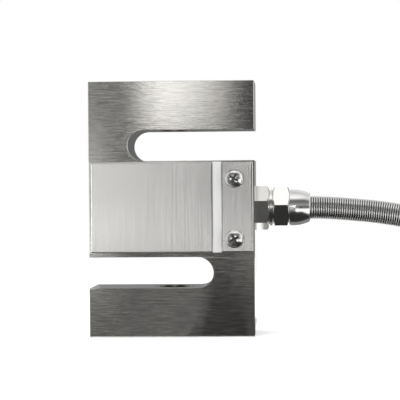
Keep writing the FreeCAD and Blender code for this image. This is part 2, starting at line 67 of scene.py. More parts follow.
# The block and what is on it, the same sizes as the solids'.
ARM_H_MM = 14.95
SCREW_X_MM, SCREW_TOP_MM, SCREW_PITCH_MM, BLOCK_MID_Z_MM = 19.2, 15.0, 18.44, 39.2
# Each screw's cross recess gets painted shade within these reaches.
CROSS_REACH_MM, CROSS_SHADE_MM = (1.55, 1.75), (0.25, 0.6)  # out from a screw's axis, and down from its top
COVER_BEND_HIGHLIGHT_MM = ((12.65, 13.05), (15.05, 15.45))  # along X, where the painted highlight on the cover's bend begins and ends
THREAD_MARGIN_MM, THREAD_ROOT_MM = 0.9, 0.02  # clear of the arm's faces, and into its wall
THREAD_STEPS = 64  # rings to one turn

# The hose's route from the ferrule to the coil, the same points as the solid's.
HOSE_ROUTE_MM = [
    (38.35, 0.0, 39.2),
    (46.0, 0.0, 39.2),
    (55.0, -0.1, 38.5),
    (64.5, -0.6, 37.6),
    (76.0, -2.0, 35.6),
    (88.0, -4.6, 32.2),
    (99.0, -6.8, 28.2),
    (108.5, -7.9, 26.0),
]
COIL_CENTRE_MM = (117.4, 32.3)
OUTER_TURN_R_MM, INNER_TURN_R_MM, TAIL_TURN_R_MM = 40.3, 33.1, 36.7
OUTER_TURNS, INNER_TURNS = 4, 3
TOP_LAYER_Z_MM, LAYER_STEP_MM = 25.2, 7.2
COIL_TOP_MM = 28.8
CHANGE_DEG = 60  # round the coil, for one change of layer or column
INWARD_EARLY_DEG, UP_EARLY_DEG = 16, 30  # how long before the whole turn these changes are over
TAIL_TURN = (  # degrees, radius and height of the hose's last points, over the coil
    (-15.0, 33.4, 26.0),
    (0.0, 33.8, 28.2),
    (15.0, 35.0, 30.6),
    (30.0, 36.3, 32.2),
    (45.0, 36.7, 32.8),
    (60.0, 36.7, 33.0),
)
FINE_HOSE = 0.085  # the length that is meshed finely, a little past what the camera sees
HOSE_COLUMNS = 16

# The free cable and its leads, the same as the solids'.
END_FERRULE_L_MM = 12.0
CABLE_GRIP_MM, CABLE_LEAD_OUT_MM = 2.0, 1.2
CABLE_REST_MM = [(39.6, 90.0, 32.0), (38.4, 101.0, 31.0), (36.9, 112.0, 30.9)]  # radius, degrees, height
CABLE_EDGE_MM = 0.35  # radius of the cable's cut edge
LEAD_D_MM, SHIELD_D_MM = 1.1, 0.8
LEAD_RING_R_MM, LEAD_FAN_MM, LEAD_STRAIGHT_MM = 1.2, 1.75, 2.6
LEAD_STEPS_MM = ((6.4, 0.6), (10.2, 0.9), (14.4, 1.0))  # along a lead, and how far the fan has opened there
LEAD_LANDED = 0.9  # the share of the fan's opening at which the leads lie on the coil
LEAD_FAN_ORDER = {"red": 0, "black": 2, "green": 1, "white": -1, "shield": -2}
LEAD_CORE_R_MM, SHIELD_CORE_R_MM = 0.34, 0.40
LEAD_COLUMNS = 28
STRANDS, STRAND_TWIST = 7, 160.0  # in a bundle, and waves a metre along it

# The end ferrule's outline, as distance along and radius: its mouth, one crimped groove and its nose.
FERRULE_MOUTH_MM = [(0.0, 3.85), (0.35, 4.2)]
CRIMP_MM = ((0.0, 4.2), (0.35, 3.86), (1.05, 3.86), (1.4, 4.2))
CRIMP_STARTS_MM = (2.6, 5.4)
FERRULE_NOSE_MM = [(8.7, 4.2), (9.3, 4.05), (10.9, 3.2), (11.6, 2.95), (END_FERRULE_L_MM, 2.7)]

WIRE_COLOURS = {
    "red": (0.55, 0.02, 0.015),
    "black": (0.02, 0.02, 0.022),
    "green": (0.02, 0.23, 0.06),
    "white": (0.80, 0.79, 0.76),
}

# The room in front of the object: the sine of the height looked at, and the grey there as a share of the
# room's level.
ROOM_GREYS = [(0.0, 0.04), (0.1, 0.04), (0.3, 0.31), (0.55, 0.13), (0.76, 0.10), (0.93, 1.0)]

# Cards that show only in the metal: name, middle, width and height, turn about X, Y and Z, brightness.
FLAT, UPRIGHT = (0, 0, 0), (90, 0, 0)
CARDS = (
    ("left_flag", (-0.15775, -0.26325, 0.0002), (0.3245, 0.4995), FLAT, 0.17),
    ("right_flag", (0.02525, -0.26325, 0.0002), (0.0415, 0.4995), FLAT, 0.085),
    ("hose_floor_card", (0.067, -0.2985, 0.0002), (0.026, 0.429), FLAT, 1.5),
    ("strip_flag", (0.0056, -0.26325, 0.0004), (0.014, 0.4995), (0, 0, -2.4), 0.045),
    ("near_flag", (0.0545, -0.039, 0.0006), (0.055, 0.090), FLAT, 0.031),
    ("rear_card", (0.06325, 0.036, 0.0002), (0.0735, 0.060), FLAT, 0.28),
    ("upper_slot_card", (0.0, 0.0135, 0.05875), (0.050, 0.0091), UPRIGHT, 0.145),
    ("lower_slot_card", (0.0, 0.0135, 0.01970), (0.050, 0.0091), UPRIGHT, 0.262),
    ("far_left_panel", (-0.71, -1.5, 0.02), (0.62, 0.16), UPRIGHT, 2.6),
    ("left_panel_high", (-0.285, -1.5, 0.06), (0.23, 0.08), UPRIGHT, 0.90),
    ("left_panel_low", (-0.285, -1.5, -0.02), (0.23, 0.08), UPRIGHT, 1.10),
    ("right_panel", (0.235, -1.5, -0.02), (0.53, 0.08), UPRIGHT, 0.40),
    ("hose_panel", (0.128, -1.48, 0.25), (0.096, 0.32), UPRIGHT, 5.5),
    ("left_wall", (-0.40, -1.5, 0.235), (0.526, 0.27), UPRIGHT, 0.25),
    ("strip_left", (-0.118, -1.49, 0.235), (0.030, 0.27), UPRIGHT, 2.1),
    ("strip_middle", (-0.088, -1.49, 0.235), (0.030, 0.27), UPRIGHT, 1.8),
    ("strip_right", (-0.055, -1.49, 0.235), (0.036, 0.27), UPRIGHT, 1.15),
)

# Square lamps: name, place, aim, side, watts, and whether the metal shows them.
LAMPS = (
    ("right_light", (0.85, -0.30, 0.20), (0.03, 0.0, 0.04), 0.5, 0.35, True),
    ("top_light", (0.03, -0.02, 0.75), (0.03, 0.0, 0.03), 0.6, 2.4, False),
    ("front_fill", (-0.3, -0.9, 0.5), (0.03, 0.0, 0.03), 0.6, 5.0, False),
)

FLOOR_FADE = (0.16, 0.42)  # from the load axis, where the floor begins to turn plain white and where it is
FLOOR_GLOW = 0.33  # added where the camera or the metal sees the floor, so that it is as pale as the backdrop

CAMERA_PLACE_MM = (38.12, -570.75, 46.31)
CAMERA_TURN_DEG = (3.011, -0.451, 0.435)  # yaw, pitch and roll
CAMERA_LENS, CAMERA_SENSOR = 164.65, 36.0

# --- sizes and colours that a user may change -----------------------------------------------------


def length(name, text, default):
    return bpy.props.FloatProperty(name=name, description=text, default=default, min=0.0, unit="LENGTH", precision=5)


def colour(name, text, default):
    return bpy.props.FloatVectorProperty(
        name=name, description=text, default=default, size=3, subtype="COLOR", min=0, max=1
    )


def share(name, text, default):
    return bpy.props.FloatProperty(name=name, description=text, default=default, min=0.0, max=1.0, subtype="FACTOR")


class LoadCellHose(bpy.types.PropertyGroup):
    """Sizes of the armoured hose, its free cable and its leads."""

    diameter: length("Hose diameter", "Over the crests of the winding", 7.2 * MM)
    total: length("Hose length", "From the gland's ferrule to the end ferrule", 1.8)
    pitch: length("Winding pitch", "From one crest to the next", 0.72 * MM)
    depth: length("Winding depth", "From crest to groove", 0.30 * MM)
    cable: length("Cable diameter", "Over the free cable's jacket", 4.2 * MM)
    lead: length("Lead diameter", "Over one lead's insulation", 1.1 * MM)
    bare: length("Bared length", "Of each lead's tinned strands at its tip", 3.2 * MM)


class LoadCellThread(bpy.types.PropertyGroup):
    """Sizes of the load threads."""

    major: length("Major diameter", "Across the thread's roots in the arm", 12.0 * MM)
    pitch: length("Pitch", "From one ridge to the next", 1.75 * MM)
    height: length("Ridge height", "How far the ridge stands in from the wall", 0.92 * MM)


class LoadCellColours(bpy.types.PropertyGroup):
    """Base colours of the finishes."""

    body: colour("Block", "Brushed steel of the S block", (0.60, 0.585, 0.555))
    cover: colour("Cover", "Brushed sheet steel", (0.80, 0.79, 0.77))
    screw: colour("Screws", "Bright plated steel", (0.82, 0.81, 0.79))
    gland: colour("Gland", "Bright turned steel", (0.88, 0.87, 0.84))
    ferrule: colour("Ferrule", "Satin turned steel", (0.82, 0.815, 0.80))
    hose: colour("Hose", "Wound steel strip", (0.74, 0.735, 0.72))
    rubber: colour("Rubber", "Gaskets and seals", (0.025, 0.025, 0.027))
    jacket: colour("Jacket", "Cable jacket", (0.045, 0.046, 0.05))


class LoadCellStudio(bpy.types.PropertyGroup):
    """The studio round the load cell."""

    floor: colour("Floor", "Floor colour", (0.90, 0.90, 0.90))
    key: share("Lamps", "Brightness of the lamps", 1.0)
    room: bpy.props.FloatProperty(
        name="Room", description="Brightness of the room in front", default=1.35, min=0.0
    )


# --- shader writing -------------------------------------------------------------------------------


class Value:
    """A socket that Python's operators work on: each adds a Math node to the same tree."""

    def __init__(self, tree, socket):
        self.tree = tree
        self.socket = socket

    def math(self, operation, *others):
        node = self.tree.nodes.new("ShaderNodeMath")
        node.operation = operation
        for place, item in zip(node.inputs, (self, *others)):
            plug(self.tree, place, item)
        return Value(self.tree, node.outputs[0])

    def flipped(self, operation, other):
        node = self.tree.nodes.new("ShaderNodeMath")
        node.operation = operation
        plug(self.tree, node.inputs[0], other)
        plug(self.tree, node.inputs[1], self)
        return Value(self.tree, node.outputs[0])

    def __add__(self, other):
        return self.math("ADD", other)

    def __radd__(self, other):
        return self.flipped("ADD", other)

    def __sub__(self, other):
        return self.math("SUBTRACT", other)

    def __rsub__(self, other):
        return self.flipped("SUBTRACT", other)

    def __mul__(self, other):
        return self.math("MULTIPLY", other)

    def __rmul__(self, other):
        return self.flipped("MULTIPLY", other)

    def __truediv__(self, other):
        return self.math("DIVIDE", other)

    def __pow__(self, other):
        return self.math("POWER", other)

    def clamped(self):
        return self.math("MINIMUM", 1.0).math("MAXIMUM", 0.0)

    def between(self, low, high):
        """0 below low, 1 above high and a straight rise from one to the other."""
        return ((self - low) / (high - low)).clamped()


def plug(tree, place, item):
    """Link a Value to an input, or set the input to a number or a tuple."""
    if isinstance(item, Value):
        tree.links.new(item.socket, place)
    else:
        place.default_value = item


class Tree:
    """Writes nodes into one material's or the world's tree."""

    def __init__(self, tree):
        self.tree = tree

    def node(self, kind, settings=None, inputs=None, out=0):
        """One node: its type, its settings, and the values or links of its sockets. Returns one output."""
        node = self.tree.nodes.new(kind)
        for name, setting in (settings or {}).items():
            if name == "stops":
                ramp = node.color_ramp.elements
                while len(ramp) < len(setting):
                    ramp.new(1.0)
                for element, (position, grey) in zip(ramp, setting):
                    element.position = position
                    element.color = (grey, grey, grey, 1.0)
            else:
                setattr(node, name, setting)
        for name, item in (inputs or {}).items():
            plug(self.tree, node.inputs[name], item)
        return Value(self.tree, node.outputs[out])

    def place(self):
        """The point on the piece, in metres."""
        return self.node("ShaderNodeTexCoord", out="Object")

    def axes(self, vector):
        split = self.tree.nodes.new("ShaderNodeSeparateXYZ")
        plug(self.tree, split.inputs[0], vector)
        return [Value(self.tree, output) for output in split.outputs]

    def noise(self, vector, scale, detail=2.0, rough=0.5):
        return self.node(
            "ShaderNodeTexNoise",
            inputs={"Vector": vector, "Scale": scale, "Detail": detail, "Roughness": rough},
        )

    def stretched(self, vector, steps, turn=(0, 0, 0)):
        """Noise stretched along one axis: steps are features a metre along X, Y and Z."""
        scaled = self.node("ShaderNodeMapping", inputs={"Vector": vector, "Scale": steps, "Rotation": turn})
        return self.noise(scaled, 1.0, 3.0, 0.6)

    def blend(self, factor, a, b):
        """Colour a at factor 0, colour b at factor 1."""
        a, b = ((*c, 1.0) if isinstance(c, tuple) and len(c) == 3 else c for c in (a, b))
        return self.node("ShaderNodeMix", {"data_type": "RGBA"}, {0: factor, 6: a, 7: b}, out=2)

    def bump(self, height, distance, strength=1.0, normal=None):
        inputs = {"Height": height, "Distance": distance, "Strength": strength}
        if normal is not None:
            inputs["Normal"] = normal
        return self.node("ShaderNodeBump", inputs=inputs)


class Finish(Tree):
    """A material with one Principled shader."""

    def __init__(self, name, **constants):
        self.material = bpy.data.materials.new(name)
        self.material.use_nodes = True
        super().__init__(self.material.node_tree)
        self.shader = self.tree.nodes["Principled BSDF"]
        self.set(**constants)

    def set(self, **sockets):
        for name, item in sockets.items():
            plug(self.tree, self.shader.inputs[name.replace("_", " ")], item)
        return self.material


def tone(base, factor):
    """A colour made darker or lighter."""
    return tuple(min(1.0, c * factor) for c in base)


# --- finishes -------------------------------------------------------------------------------------


def brushed(name, base, along, rough, depth, streak, turn):
    """Steel brushed along one axis: long streaks, short dashes and hairlines in colour, roughness and height.

    The cover, which is brushed along Z, also gets a painted highlight on its bend: near-white, less metallic and
    rougher.
    """
    f = Finish(name, Anisotropic=1.0, Anisotropic_Rotation=turn)
    steps = {
        "X": ((170.0, 2200.0, 2200.0), (300.0, 2900.0, 2900.0), (600.0, 6500.0, 6500.0)),
        "Z": ((2600.0, 2600.0, 45.0), (2200.0, 2200.0, 30.0), (6500.0, 6500.0, 90.0)),
    }[along]
    p = f.place()
    long, dash, hair = (f.stretched(p, step) for step in steps)
    cloud = f.noise(p, 60.0, 3.0)
    streaks = (long * 0.45 + dash * 0.3 + hair * 0.25).between(0.35, 0.65)
    colours = f.blend(streaks, tone(base, 1.0 - streak), tone(base, 1.0 + streak))
    stain = f.blend((cloud.between(0.45, 0.75)) * 0.35, colours, tone(base, 0.86))
    normal = f.bump((dash * 0.6 + hair * 0.4).between(0.3, 0.7), depth)
    roughness = rough * (0.8 + 0.4 * streaks)
    if along == "X":
        return f.set(Base_Color=stain, Metallic=1.0, Roughness=roughness, Normal=normal)
    x, y, z = f.axes(p)
    begins, ends = ((low * MM, high * MM) for low, high in COVER_BEND_HIGHLIGHT_MM)
    # Painted highlight: across the bend the colour turns near-white and less metallic, in place of a bright
    # reflection.
    painted_bend_highlight = x.between(*begins) * (1 - x.between(*ends))
    return f.set(
        Base_Color=f.blend(painted_bend_highlight, stain, (0.96, 0.96, 0.955)),
        Metallic=1.0 - 0.8 * painted_bend_highlight,
        Roughness=roughness + 0.35 * painted_bend_highlight,
        Normal=normal,
    )


def turned(name, base, rough, depth, wear, way=(1.0, 0.0, 0.0)):
    """Steel turned in a lathe, with fine rings along its axis and faint stains."""
    f = Finish(name, Metallic=1.0)
    p = f.place()
    reach = f.node("ShaderNodeVectorMath", {"operation": "DOT_PRODUCT"}, {0: p, 1: way}, out="Value")
    rings = f.node("ShaderNodeTexNoise", {"noise_dimensions": "1D"}, {"W": reach, "Scale": 9000.0, "Detail": 2.0})
    cloud = f.noise(p, 350.0, 4.0, 0.6)
    spots = f.noise(p, 1400.0, 2.0)
    colours = f.blend(cloud.between(0.4, 0.8) * wear, base, tone(base, 0.72))
    roughness = rough * (0.75 + 0.5 * cloud) + 0.05 * spots
    return f.set(Base_Color=colours, Roughness=roughness, Normal=f.bump(rings, depth))


def plain_bright(name, base, rough, recessed=False):
    """Plated steel as stamped: smooth, with shallow dents, scratches and soil, and painted shade down in a cross
    recess.
    """
    f = Finish(name, Metallic=1.0)
    p = f.place()
    dents = f.noise(p, 700.0, 2.0)
    scratches = f.stretched(p, (900.0, 200.0, 9000.0), (0.3, 0.8, 0.5))
    soil = f.noise(p, 1800.0, 4.0, 0.7)
    colours = f.blend(soil.between(0.55, 0.8) * 0.5, base, tone(base, 0.45))
    if recessed:
        x, y, z = f.axes(p)
        aside, above = x - SCREW_X_MM * MM, z - BLOCK_MID_Z_MM * MM
        above = (above * above) ** 0.5 - SCREW_PITCH_MM / 2 * MM
        reach = (aside * aside + above * above) ** 0.5
        depth = SCREW_TOP_MM * MM - (y * y) ** 0.5
        down, out = ([edge * MM for edge in edges] for edges in (CROSS_SHADE_MM, CROSS_REACH_MM))
        # Painted shade: the colour turns near-black down in each screw's cross recess.
        painted_recess_shade = depth.between(*down) * (1.0 - reach.between(*out))
        colours = f.blend(painted_recess_shade * (0.7 + 0.3 * soil), colours, tone(base, 0.05))
    normal = f.bump(scratches, 0.000004, 0.6, f.bump(dents, 0.00002, 0.6))
    return f.set(Base_Color=colours, Roughness=rough + 0.12 * soil, Normal=normal)


def moulded(name, base, rough, grain, depth):
    """Rubber or plastic: a fine even grain, and a faint bloom that changes its gloss."""
    f = Finish(name)
    p = f.place()
    fine = f.noise(p, grain, 3.0)
    cloud = f.noise(p, 180.0, 3.0)
    colours = f.blend(cloud.between(0.35, 0.7), tone(base, 0.88), tone(base, 1.12))
    return f.set(Base_Color=colours, Roughness=rough * (0.85 + 0.3 * fine), Normal=f.bump(fine, depth, 0.5))


def wound_steel(name, base):
    """The hose's strip: bright crests, painted shade down in the grooves, and slow changes along the hose."""
    f = Finish(name, Metallic=1.0)
    groove = f.node("ShaderNodeAttribute", {"attribute_name": "groove"}, out="Fac")
    p = f.place()
    cloud = f.noise(p, 240.0, 3.0)
    fine = f.noise(p, 5000.0, 2.0)
    crest = f.blend(cloud.between(0.35, 0.7), tone(base, 0.92), tone(base, 1.06))
    # Painted shade: the colour turns near-black down in the grooves between the crests.
    colours = f.blend(groove.between(0.38, 0.78) * 0.93, crest, tone(base, 0.06))
    roughness = 0.10 + 0.14 * groove + 0.05 * cloud
    return f.set(Base_Color=colours, Roughness=roughness, Normal=f.bump(fine, 0.000006, 0.5))


def gauge_foil(name):
    """Amber polyimide with the foil grid showing as fine bright lines."""
    f = Finish(name, Roughness=0.3, Coat_Weight=0.4)
    x, y, z = f.axes(f.place())
    lines = (y * (2 * math.pi / 0.0005)).math("SINE").between(0.1, 0.5)
    edge = x.math("ABSOLUTE").between(0.0065, 0.0068) * (1 - x.math("ABSOLUTE").between(0.0112, 0.0115))
    grid = lines * edge
    colours = f.blend(grid, (0.42, 0.20, 0.03), (0.72, 0.68, 0.60))
    return f.set(Base_Color=colours, Metallic=grid * 0.8)


def solder_board(name, face_y):
    """Green mask over a weave, and bright solder on the pads that stand proud of it."""
    f = Finish(name, Roughness=0.35)
    p = f.place()
    x, y, z = f.axes(p)
    pad = 1 - y.between(face_y - 0.00008, face_y - 0.00004)
    weave = (x * (2 * math.pi / 0.0006)).math("SINE") * (z * (2 * math.pi / 0.0006)).math("SINE")
    green = f.blend(weave.between(-1.0, 1.0), (0.012, 0.10, 0.035), (0.018, 0.14, 0.05))
    colours = f.blend(pad, green, (0.75, 0.75, 0.73))
    return f.set(Base_Color=colours, Metallic=pad, Normal=f.bump(weave, 0.00001, 0.4))


def strands_along(f):
    """Waves that run round and along a twisted bundle, from its own map: u along in metres, v round in turns."""
    u, v, _ = f.axes(f.node("ShaderNodeUVMap", {"uv_map": "along"}))
    return ((u * STRAND_TWIST + v * float(STRANDS)) * (2 * math.pi)).math("SINE").between(-1.0, 1.0)


def insulated(name, tint):
    """A lead's coloured insulation, and the tinned strands where it has been stripped, with painted shade between
    the strands.
    """
    f = Finish(name, Coat_Weight=0.15)
    p = f.place()
    fine, cloud = f.noise(p, 7000.0, 3.0), f.noise(p, 180.0, 3.0)
    bare = f.node("ShaderNodeAttribute", {"attribute_name": "bare"}, out="Fac")
    strands = strands_along(f)
    plastic = f.blend(cloud.between(0.35, 0.7), tone(tint, 0.88), tone(tint, 1.12))
    # Painted shade: the bare strands are darker in the hollows between them.
    metal = f.blend(strands, (0.40, 0.37, 0.33), (0.74, 0.70, 0.64))
    height = fine * 0.12 * (1.0 - bare) + strands * bare
    return f.set(
        Base_Color=f.blend(bare, plastic, metal),
        Metallic=bare,
        Roughness=0.38 * (0.85 + 0.3 * fine) - 0.1 * bare,
        Normal=f.bump(height, 0.00005),
    )


def stranded(name, base):
    """Tinned strands twisted together along the shield wire, with painted shade between the strands."""
    f = Finish(name, Metallic=1.0)
    strands = strands_along(f)
    soil = f.noise(f.place(), 900.0, 3.0)
    # Painted shade: the strands are darker in the hollows between them.
    colours = f.blend(strands, tone(base, 0.5), base)
    return f.set(Base_Color=colours, Roughness=0.22 + 0.2 * soil, Normal=f.bump(strands, 0.00004))


def make_finishes(colours):
    """Every material, by its slot in the record."""
    body, cover = tuple(colours.body), tuple(colours.cover)
    made = {
        "body_steel": brushed("block brushed steel", body, "X", 0.085, 0.0000030, 0.28, 0.25),
        "cover_steel": brushed("cover brushed steel", cover, "Z", 0.19, 0.0000008, 0.05, 0.0),
        "screw_steel": plain_bright("screw plated steel", tuple(colours.screw), 0.14, recessed=True),
        "gland_steel": turned("gland bright steel", tuple(colours.gland), 0.10, 0.0000010, 0.3),
        "ferrule_steel": turned("ferrule satin steel", tuple(colours.ferrule), 0.16, 0.0000030, 0.35),
        "hose_steel": wound_steel("hose wound steel", tuple(colours.hose)),
        "gasket_rubber": moulded("gasket rubber", tuple(colours.rubber), 0.6, 6000.0, 0.00002),
        "seal_rubber": moulded("seal rubber", tone(tuple(colours.rubber), 0.9), 0.5, 5000.0, 0.00001),
        "gauge_foil": gauge_foil("gauge foil"),
        "board_green": solder_board("terminal board", 0.002),
        "cable_jacket": moulded("cable jacket", tuple(colours.jacket), 0.45, 4000.0, 0.00002),
        "shield_copper": stranded("shield tinned copper", (0.72, 0.66, 0.57)),
    }
    for key, tint in WIRE_COLOURS.items():
        made[f"wire_{key}"] = insulated(f"{key} insulation", tint)
    return made


def dress(node, material):
    """Give a CAD node a finish in each of its material slots."""
    obj = bpy.data.objects[node]
    if not obj.material_slots:
        obj.data.materials.append(material)
    for place in obj.material_slots:
        place.material = material


def slot_of(node):
    """The slot that the record gives a CAD node."""
    return next(part["material_slot"] for part in frame["record"]["subparts"] if part["node"] == node)


FINISH_NAMES = {}  # each slot's material by name, written by the finishes operator


def finish_for(slot):
    """The material made for a slot."""
    return bpy.data.materials[FINISH_NAMES[slot]]


# --- surfaces -------------------------------------------------------------------------------------


def mesh_piece(name, points, quads, material, triangles=None, smooth=True):
    """A mesh object from arrays of points and faces, riding on the one body."""
    mesh = bpy.data.meshes.new(name)
    faces = quads.tolist() + ([] if triangles is None else triangles.tolist())
    mesh.from_pydata(points.tolist(), [], faces)
    mesh.polygons.foreach_set("use_smooth", [smooth] * len(mesh.polygons))
    mesh.materials.append(material)
    mesh.update()
    obj = bpy.data.objects.new(name, mesh)
    bpy.context.scene.collection.objects.link(obj)
    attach(obj, "root")
    return obj


def grid_faces(rows, columns):
    """Quads of a grid that is closed across its columns: rows run along, columns round."""
    i, j = np.meshgrid(np.arange(rows - 1), np.arange(columns), indexing="ij")
    k = (j + 1) % columns
    corners = [i * columns + j, (i + 1) * columns + j, (i + 1) * columns + k, i * columns + k]
    return np.stack(corners, axis=-1).reshape(-1, 4)


def frames_along(path):
    """Unit tangents, sideways and upward vectors along a path that never points straight up."""
    tangent = np.gradient(path, axis=0)
    tangent /= np.linalg.norm(tangent, axis=1, keepdims=True)
    side = np.cross(np.array([0.0, 0.0, 1.0]), tangent)
    side /= np.linalg.norm(side, axis=1, keepdims=True)
    return tangent, side, np.cross(tangent, side)


def distances(path):
    """How far along a path each of its points is."""
    return np.concatenate([[0.0], np.cumsum(np.linalg.norm(np.diff(path, axis=0), axis=1))])


def along(path, steps):
    """Points at the given distances along a path, read between its own points."""
    s = distances(path)
    return np.stack([np.interp(steps, s, path[:, axis]) for axis in range(3)], axis=1)


def pipe(name, path, radii, columns, material):
    """A skin round a path: at each of its points a ring square to it, closed over at both ends.

    Radii hold one number a ring for a round skin, or one a ring and column for any other section.
    """
    tangent, side, up = frames_along(path)
    turn = np.linspace(0.0, 2 * np.pi, columns, endpoint=False)
    ring = side[:, None, :] * np.cos(turn)[None, :, None] + up[:, None, :] * np.sin(turn)[None, :, None]
    skin = path[:, None, :] + ring * np.reshape(radii, (len(path), -1, 1))
    rows = len(path)
    points = np.concatenate([skin.reshape(-1, 3), path[:1], path[-1:]])
    j = np.arange(columns)
    k = (j + 1) % columns
    first, last = rows * columns, rows * columns + 1
    start_cap = np.stack([np.full(columns, first), j, k], axis=1)
    end_cap = np.stack([np.full(columns, last), (rows - 1) * columns + k, (rows - 1) * columns + j], axis=1)
    obj = mesh_piece(name, points, grid_faces(rows, columns), material, np.concatenate([start_cap, end_cap]))
    write_along(obj, distances(path), columns)
    return obj


def write_along(obj, steps, columns):
    """A UV map whose u is the distance along in metres and whose v is the share of a turn."""
    mesh = obj.data
    corner = np.empty(len(mesh.loops), dtype=np.int64)
    mesh.loops.foreach_get("vertex_index", corner)
    row = np.minimum(corner // columns, len(steps) - 1)
    uv = np.stack([steps[row], (corner % columns) / columns], axis=1)
    layer = mesh.uv_layers.new(name="along")
    layer.data.foreach_set("uv", uv.astype(np.float32).ravel())


def smooth_path(name, points, resolution):
    """The line of a NURBS spline with these control points, read from a curve with no bevel."""
    curve = bpy.data.curves.new(name, "CURVE")
    curve.dimensions = "3D"
    spline = curve.splines.new("NURBS")
    spline.points.add(len(points) - 1)
    spline.points.foreach_set("co", np.column_stack([points, np.ones(len(points))]).astype(np.float32).ravel())
    spline.order_u = 3
    spline.use_endpoint_u = True
    spline.resolution_u = resolution
    holder = bpy.data.objects.new(name, curve)
    mesh = bpy.data.meshes.new_from_object(holder)
    line = np.empty(len(mesh.vertices) * 3, dtype=np.float32)
    mesh.vertices.foreach_get("co", line)
    bpy.data.objects.remove(holder)
    bpy.data.curves.remove(curve)
    bpy.data.meshes.remove(mesh)
    return line.reshape(-1, 3).astype(float)


def lathe(name, outline, columns, start, way, material, ease=0.04 * MM):
    """A turned piece: a closed outline of (distance along, radius), carried round an axis from start along way.

    Each corner of the outline becomes two points, a little way along its two sides, so that it catches light.
    """
    outline = np.asarray(outline, dtype=float)
    back, on = np.roll(outline, 1, axis=0) - outline, np.roll(outline, -1, axis=0) - outline
    back, on = (v / np.linalg.norm(v, axis=1, keepdims=True) for v in (back, on))
    eased_corners = np.stack([outline + back * ease, outline + on * ease], axis=1).reshape(-1, 2)
    way = np.asarray(way, dtype=float) / np.linalg.norm(way)
    side = np.cross([0.0, 0.0, 1.0], way)
    side /= np.linalg.norm(side)
    up = np.cross(way, side)
    turn = np.linspace(0.0, 2 * np.pi, columns, endpoint=False)
    ring = side[None, :] * np.cos(turn)[:, None] + up[None, :] * np.sin(turn)[:, None]
    points = np.asarray(start) + eased_corners[:, None, 0:1] * way + eased_corners[:, None, 1:2] * ring[None, :, :]
    count = len(eased_corners) * columns
    faces = grid_faces(len(eased_corners) + 1, columns) % count
    return mesh_piece(name, points.reshape(-1, 3), faces, material)


# --- the hose's path ------------------------------------------------------------------------------


def eased(turn, start, end):
    """0 before start, 1 after end and a smooth change between, in degrees round the coil."""
    t = np.clip((turn - start) / (end - start), 0.0, 1.0)
    return t * t * (3 - 2 * t)


def coil_points(step=22.5):
    """Control points of the wound turns, by the degrees that the hose has gone round.

    Four outer turns go down a layer each, the hose moves in on the floor, and three inner turns go up.
    Each change of layer takes a sixth of a turn: the inner ones first, then the move in, then the outer ones.
    Points stand out by one over the cosine of half a step, so that the smooth line has the turn's own radius.
    """
    turns = OUTER_TURNS + INNER_TURNS
    turn = np.arange(step, turns * 360.0 + CHANGE_DEG + 0.1, step)

    def change(k, early):
        return eased(turn, 360 * k - early - CHANGE_DEG, 360 * k - early)

    down = sum(change(k, 0) for k in range(1, OUTER_TURNS))
    inward = change(OUTER_TURNS, INWARD_EARLY_DEG)
    up = sum(change(k, UP_EARLY_DEG) for k in range(OUTER_TURNS + 1, turns + 1))
    z = TOP_LAYER_Z_MM - LAYER_STEP_MM * down + LAYER_STEP_MM * up
    radius = OUTER_TURN_R_MM + (INNER_TURN_R_MM - OUTER_TURN_R_MM) * inward
    radius = radius / math.cos(math.radians(step / 2))
    return on_coil(radius, turn - 90.0, z)


def on_coil(radius, degrees, z):
    """Points at a radius and height, an angle round the coil's middle."""
    a = np.radians(degrees)
    x = COIL_CENTRE_MM[0] + radius * np.cos(a)
    y = COIL_CENTRE_MM[1] + radius * np.sin(a)
    return np.stack([x, y, z + 0 * x], axis=-1)


def hose_control_points():
    """The hose's control points: down from the ferrule, round the coil, and up over it to the hose's end."""
    degrees, radius, z = np.array(TAIL_TURN).T
    tail = on_coil(radius, degrees, z)
    return np.vstack([HOSE_ROUTE_MM, coil_points(), tail]) * MM


def hose_end():
    """Where the hose ends and which way it points there."""
    before, end = hose_control_points()[-2:]
    return end, (end - before) / np.linalg.norm(end - before)


def free_cable_points():
    """The free cable's control points, from inside the end ferrule down onto the coil."""
    start, way = hose_end()
    held = [start + way * reach * MM for reach in (CABLE_GRIP_MM, END_FERRULE_L_MM + CABLE_LEAD_OUT_MM)]
    return np.array(held + [on_coil(*place) * MM for place in CABLE_REST_MM])


def lead_points(key, route):
    """One lead's control points: out of its place in the cable, then down and across to its place in the fan."""
    place = list(LEAD_FAN_ORDER).index(key)
    diameter = SHIELD_D_MM if key == "shield" else LEAD_D_MM
    before, start = route[-2:] / MM
    way = (start - before) / np.linalg.norm(start - before)
    side = np.cross([0.0, 0.0, 1.0], way)
    side /= np.linalg.norm(side)
    angle = math.radians(90 - 360 * place / len(LEAD_FAN_ORDER))
    across, above = LEAD_RING_R_MM * math.cos(angle), LEAD_RING_R_MM * math.sin(angle)
    begin = start + side * across + np.cross(way, side) * above
    lie = COIL_TOP_MM + diameter / 2
    points = [begin, begin + way * LEAD_STRAIGHT_MM]
    for reach, opened in LEAD_STEPS_MM:
        inward = reach**2 / (2 * TAIL_TURN_R_MM)
        sideways = across * (1 - opened) + LEAD_FAN_MM * opened * LEAD_FAN_ORDER[key] + inward
        p = start + way * reach + side * sideways
        p[2] = lie + (begin[2] - lie) * max(0.0, LEAD_LANDED - opened)
        points.append(p)
    return np.array(points) * MM


# --- operators: one for each piece or group of like pieces ---------------------------------------


class LOADCELL_OT_finishes(bpy.types.Operator):
    """Make every finish and put it on the CAD's pieces"""

    bl_idname = "loadcell.finishes"
    bl_label = "Finishes"

    def execute(self, context):
        for slot, material in make_finishes(context.scene.load_cell_colours).items():
            FINISH_NAMES[slot] = material.name
        for node in frame["nodes"]:
            dress(node, finish_for(slot_of(node)))
        return {"FINISHED"}


